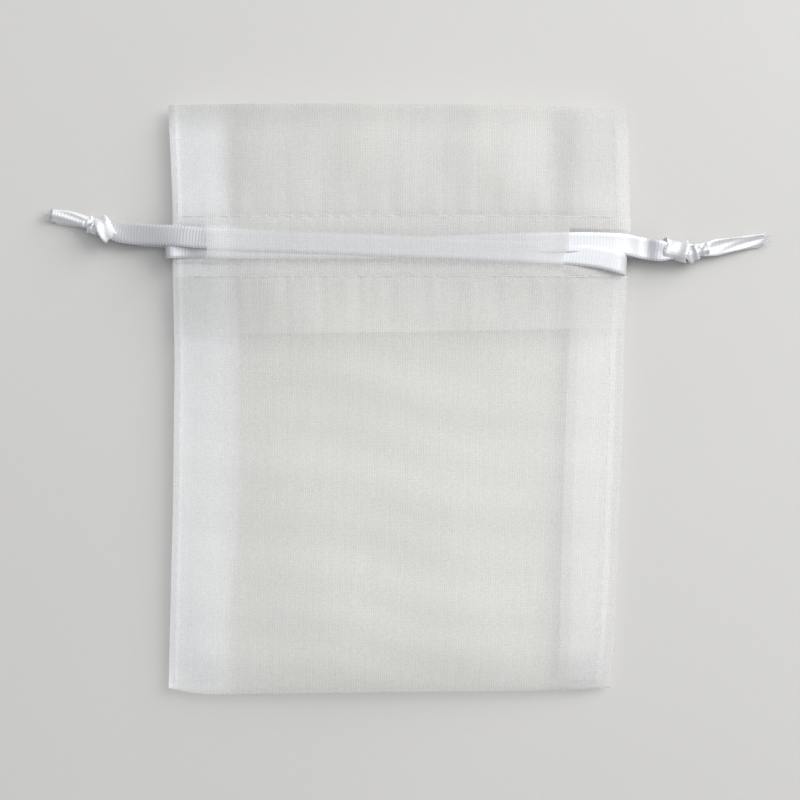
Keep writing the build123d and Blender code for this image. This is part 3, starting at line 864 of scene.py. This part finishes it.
def facing_tail(side, level, inward):
    """The facing's raw-edged end, hanging free below the lower row of stitches."""
    inner, outer = columns(side)
    c = np.concatenate([inner, outer[1:-6]])[None, :]
    lines = []
    for t in np.linspace(0, 1, 18):
        y0 = np.full(c.shape, ROW_LOW)
        x = np.minimum(c, 0.985) * edge_x(side, y0)
        ragged = 0.05 * np.sin(x * 3.1) + 0.04 * np.sin(x * 7.7 + 1.0)
        y = ROW_LOW + (facing_line(x) + ragged - ROW_LOW) * t
        x = np.minimum(c, 0.985) * edge_x(side, y)
        front, back = front_level(side, x, y), back_level(side, x, y)
        room = np.clip((front - back) * 0.22, 0.03, None)
        z = level(side, x, y) + inward * np.minimum(facing_gap(y), room)
        lines.append(np.stack([x, y, z], -1))
    points = np.concatenate(lines)
    uv = flat_uv(points)
    uv[..., 1] += 0.54
    return grid(points, uv)


ALLOW_WIDE = {
    -1: table([46, 28, 20, 10, -18, -30, -46], [26.6, 26.5, 25.2, 24.6, 24.7, 26.0, 26.9], 2.0),
    1: table([46, 28, 0, -20, -46], [27.8, 27.5, 26.2, 25.6, 25.0], 2.0),
}
ALLOW_NARROW = {
    -1: table([46, 0, -46], [28.3, 27.3, 28.4], 2.0),
    1: table([46, 28, 0, -46], [29.0, 28.8, 27.6, 26.6], 2.0),
}


def allowance(side, low, high):
    """The two plies of a seam allowance, inside the pouch, from the seam inwards."""
    plies = []
    rows = np.arange(low, high + 0.01, (high - low) / max(4, round((high - low) / 0.8)))
    for limit, share, fold in ((ALLOW_WIDE, 0.66, 0.0), (ALLOW_NARROW, 0.58, 0.05)):
        y = np.broadcast_to(rows[:, None], (len(rows), 20))
        t = np.linspace(0, 1, 20)[None, :] ** 1.2
        d_in = side * edge_x(side, y) - limit[side](y) + 0.06 * np.sin(y * 2.7) + 0.04 * np.sin(y * 6.1 + side)
        d = SEAM_IN[side] * 0.55 + (d_in - SEAM_IN[side] * 0.55) * t
        x = edge_x(side, y) - side * d
        f, b = front_level(side, x, y), back_level(side, x, y)
        bottom = smooth((y - bottom_line(x)) / 7.0)
        f = b + (f - b) * (0.12 + 0.88 * bottom)
        z = b + (f - b) * (0.5 + (share - 0.5) * smooth(t / 0.5)) + fold
        points = np.stack([x, y, z], -1)
        uv = flat_uv(points) + (0.03 * share, 0.07)
        plies.append(grid(points, uv))
    return join(*plies)


# ================================================================ cloth pieces
def blend_neck(obj, side):
    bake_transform(obj)


def blend_pocket(obj, side):
    """Bakes the piece's placement into its points."""
    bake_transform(obj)


SIDES = {-1: "left", 1: "right"}
for side, word in SIDES.items():
    v, f, t = pocket_sheet(side)
    piece = make_mesh(f"pocket_cloth_{word}", v, f, "cloth", t, pocket_cloth)
    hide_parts("front_panel", "back_panel")
    blend_pocket(piece, side)
    for face, level, inward in (("front", front_level, -1), ("back", back_level, 1)):
        v, f, t = neck_sheet(side, level, inward)
        piece = make_mesh(f"neck_{face}_cloth_{word}", v, f, "cloth", t, neck_cloth, merge=0.004)
        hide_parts(f"{face}_panel", f"{face}_facing", f"{word}_slit_edge")
        blend_neck(piece, side)
        v, f, t = facing_tail(side, level, inward)
        piece = make_mesh(f"{face}_facing_edge_{word}", v, f, "cloth", t, inner_cloth)
        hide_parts(f"{face}_facing")
        blend_pocket(piece, side)
    v, f, t = allowance(side, -44.0, 18.6)
    piece = make_mesh(f"{word}_seam_allowance_cloth", v, f, "cloth", t, seam_cloth)
    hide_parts(f"{word}_seam_allowance")
    blend_pocket(piece, side)
    v, f, t = allowance(side, 28.4, 44.7)
    piece = make_mesh(f"{word}_neck_allowance_cloth", v, f, "cloth", t, seam_cloth)
    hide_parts(f"{word}_neck_allowance")
    blend_neck(piece, side)


# ================================================================ stitches
def tube(points, radius, around=7, start=0.0):
    """A thread swept along points; uv runs round and along."""
    s = lengths(points)
    tangent = unit(np.gradient(points, axis=0))
    ref = np.where(np.abs(tangent[:, 2:3]) > 0.9, np.array([[1.0, 0, 0]]), np.array([[0, 0, 1.0]]))
    a = unit(np.cross(tangent, ref))
    b = np.cross(tangent, a)
    radius = np.broadcast_to(np.asarray(radius, float), len(s))
    angles = np.arange(around) * 2 * math.pi / around
    rings = np.stack(
        [points + (a * math.cos(t) + b * math.sin(t)) * radius[:, None] for t in angles], 1
    )
    rows, cols = rings.shape[:2]
    index = np.arange(rows * cols).reshape(rows, cols)
    nxt = np.roll(index, -1, axis=1)
    faces = np.stack([index[:-1], nxt[:-1], nxt[1:], index[1:]], -1).reshape(-1, 4).tolist()
    faces.append(index[0][::-1].tolist())
    faces.append(index[-1].tolist())
    uv = np.stack(
        [np.broadcast_to(angles / (2 * math.pi), (rows, cols)), np.broadcast_to((s[:, None] + start) * 0.01, (rows, cols))],
        -1,
    )
    return rings.reshape(-1, 3), faces, uv.reshape(-1, 2)


def stitch_run(places, up, length=1.75, gap=0.22, radius=0.055):
    """Separate stitches along places (points on the cloth); up is +1 or -1."""
    s = lengths(places)
    parts, at, count = [], 0.15, 0
    while at + length < s[-1]:
        t = np.linspace(at, at + length, 9)
        p = np.stack([np.interp(t, s, places[:, i]) for i in range(3)], 1)
        rise_ = np.sin(np.linspace(0, math.pi, 9)) ** 0.5
        p[:, 2] += up * (-0.06 + 0.08 * rise_)
        side_ = 0.03 * math.sin(count * 1.7)
        p[:, 1] += side_
        parts.append(tube(p, radius * (0.75 + 0.25 * rise_), start=at))
        at += length + gap + 0.05 * math.sin(count * 2.3)
        count += 1
    return join_lists(*parts)


for side, word in SIDES.items():
    for face, level, up in (("front", front_level, 1), ("back", back_level, -1)):
        for height, y0 in (("lower", ROW_LOW), ("upper", ROW_HIGH)):
            x = np.linspace(0.0 if side > 0 else 0.3, 33.4, 200) * side
            y = y0 + 0.05 * np.sin(x * 0.9) + 0.04 * np.sin(x * 0.37 + 1)
            z = level(side, x, np.full(x.shape, y0))
            if face == "back":
                z = np.maximum(z, 0.16)
            v, f, t = stitch_run(np.stack([x, y, z], 1), up if face == "front" else 1)
            piece = make_mesh(f"{face}_casing_{height}_thread_{word}", v, f, "thread", t, thread)
            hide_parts(f"{face}_casing_{height}_stitches")
            blend_neck(piece, side)
    for part, low, high, node in (("seam", -44.3, 18.4, "seam"), ("neck", 28.8, 44.4, "neck")):
        y = np.linspace(low, high, 300)
        x = edge_x(side, y) - side * SEAM_IN[side]
        z = front_level(side, x, y)
        b = bottom_line(x)
        q = np.sqrt(np.clip(1 - (1 - np.clip((y - b) / 8.5, 0, 1)) ** 2, 0, 1))
        fold = np.minimum(FOLD, 0.5 * (z + back_level(side, x, y)))
        z = fold + (z - fold) * q - 0.06
        v, f, t = stitch_run(np.stack([x, y, z], 1), 1, length=1.5, gap=0.5, radius=0.05)
        piece = make_mesh(f"{word}_{part}_thread", v, f, "thread", t, thread)
        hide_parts(f"{word}_{node}_stitches")
        (blend_pocket if part == "seam" else blend_neck)(piece, side)


# ================================================================ knots
def wrap(centre, run, half, tall, width, pitch, start, turns, bow, belly, twist=0.0, steps=64):
    """One turn of ribbon round the knot. run is the direction in which it crosses the top,
    half its reach that way, tall its half height, pitch how far it steps sideways."""
    run = np.array([*run, 0.0]) / math.hypot(*run)
    axis = np.array([run[1], -run[0], 0.0])
    t = np.linspace(0, 1, steps)
    phi = start + 2 * math.pi * turns * t
    tuck = 1 - 0.30 * (smooth((0.10 - t) / 0.10) + smooth((t - 0.90) / 0.10))
    r = 1 + 0.05 * np.sin(3 * phi + 1.0)
    p = (
        np.array(centre)[None, :]
        + run[None, :] * (half * np.cos(phi) * tuck * r)[:, None]
        + np.array([[0, 0, 1.0]]) * (tall * np.sin(phi) * tuck * r)[:, None]
        + axis[None, :] * (pitch * (t - 0.5) + 0.18 * np.sin(phi * 2))[:, None]
    )
    w = width * (0.86 + 0.14 * np.sin(phi) ** 2) * (0.6 + 0.4 * tuck)
    lean = twist * np.sin(phi)
    return sweep(p, axis, w, bow=-np.full(steps, bow), twist=lean, thick=0.2, fold=np.full(steps, 0.09), belly=belly)


def knot(name, wraps, body, node, material):
    v, f, t = join_lists(*[wrap(**w) for w in wraps])
    piece = make_mesh(name, v, f, "ribbon", t, material)
    lowest = v[:, 2].min()
    print(name, "lowest point", round(float(lowest), 3))
    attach(piece, body)
    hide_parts(node)
    return piece


left_knot = knot(
    "left_knot_wraps",
    [
        dict(centre=(-45.7, 26.5, 1.85), run=(0.54, -0.84), half=1.75, tall=1.25, width=2.5, pitch=0.5, start=-1.2, turns=1.05, bow=0.35, belly=0.55, twist=0.15),
        dict(centre=(-47.2, 26.75, 1.50), run=(0.35, 0.94), half=1.15, tall=1.0, width=1.5, pitch=0.5, start=2.2, turns=1.1, bow=0.26, belly=0.4, twist=-0.2),
        dict(centre=(-48.4, 27.5, 1.35), run=(-0.2, 0.98), half=0.70, tall=0.85, width=1.4, pitch=0.3, start=0.8, turns=1.05, bow=0.2, belly=0.4, twist=0.2),
    ],
    "left_cord", "left_knot", knot_satin_painted_light,
)
right_knot = knot(
    "right_knot_wraps",
    [
        dict(centre=(43.3, 22.95, 1.95), run=(0.16, 0.99), half=1.62, tall=1.32, width=3.7, pitch=0.7, start=-1.3, turns=1.05, bow=0.62, belly=0.75, twist=0.12),
        dict(centre=(45.9, 22.6, 1.50), run=(0.50, -0.87), half=1.15, tall=1.05, width=1.9, pitch=0.5, start=2.4, turns=1.1, bow=0.30, belly=0.4, twist=-0.2),
        dict(centre=(47.6, 23.2, 1.45), run=(-0.3, 0.95), half=0.75, tall=0.95, width=2.1, pitch=0.3, start=0.6, turns=1.05, bow=0.25, belly=0.45, twist=0.15),
    ],
    "right_cord", "right_knot", knot_satin_less_painted_light,
)


def fray(name, path, from_start, outward, count, body, seed):
    """Loose yarns at a ribbon's cut end."""
    rng = np.random.default_rng(seed)
    tip = path[0] if from_start else path[-1]
    parts = []
    for i in range(count):
        reach = rng.uniform(0.5, 1.5) if i else 2.1
        spread = rng.uniform(-0.85, 0.85)
        lift = rng.uniform(-0.1, 0.5)
        t = np.linspace(-0.25, 1, 9)[:, None]
        base = np.array(tip) + np.array([0, spread, 0.0])
        way = np.array([outward * reach, spread * 0.5 + rng.uniform(-0.3, 0.3), lift])
        bend = np.array([0, rng.uniform(-0.3, 0.3), rng.uniform(-0.15, 0.2)])
        p = base + way * t + bend * (t**2)
        p[:, 2] = np.maximum(p[:, 2], 0.12)
        parts.append(tube(p, 0.045 * (1.05 - 0.6 * np.clip(t[:, 0], 0, 1)), around=6))
    v, f, t = join_lists(*parts)
    piece = make_mesh(name, v, f, "thread", t, thread)
    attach(piece, body)
    return piece


left_frays = [
    fray("left_tail_yarns_a", left_path, True, -1, 9, "left_cord", 3),
    fray("left_tail_yarns_b", left_path, False, -1, 7, "left_cord", 4),
]
right_frays = [
    fray("right_tail_yarns_a", right_path, True, 1, 9, "right_cord", 5),
    fray("right_tail_yarns_b", right_path, False, 1, 7, "right_cord", 6),
]

# ================================================================ floor
bpy.ops.mesh.primitive_plane_add(size=3.0, location=(0, 0, -0.00003))
floor = bpy.context.object
floor.name = "floor"
floor.data.materials.append(floor_material())
floor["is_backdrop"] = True

low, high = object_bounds()
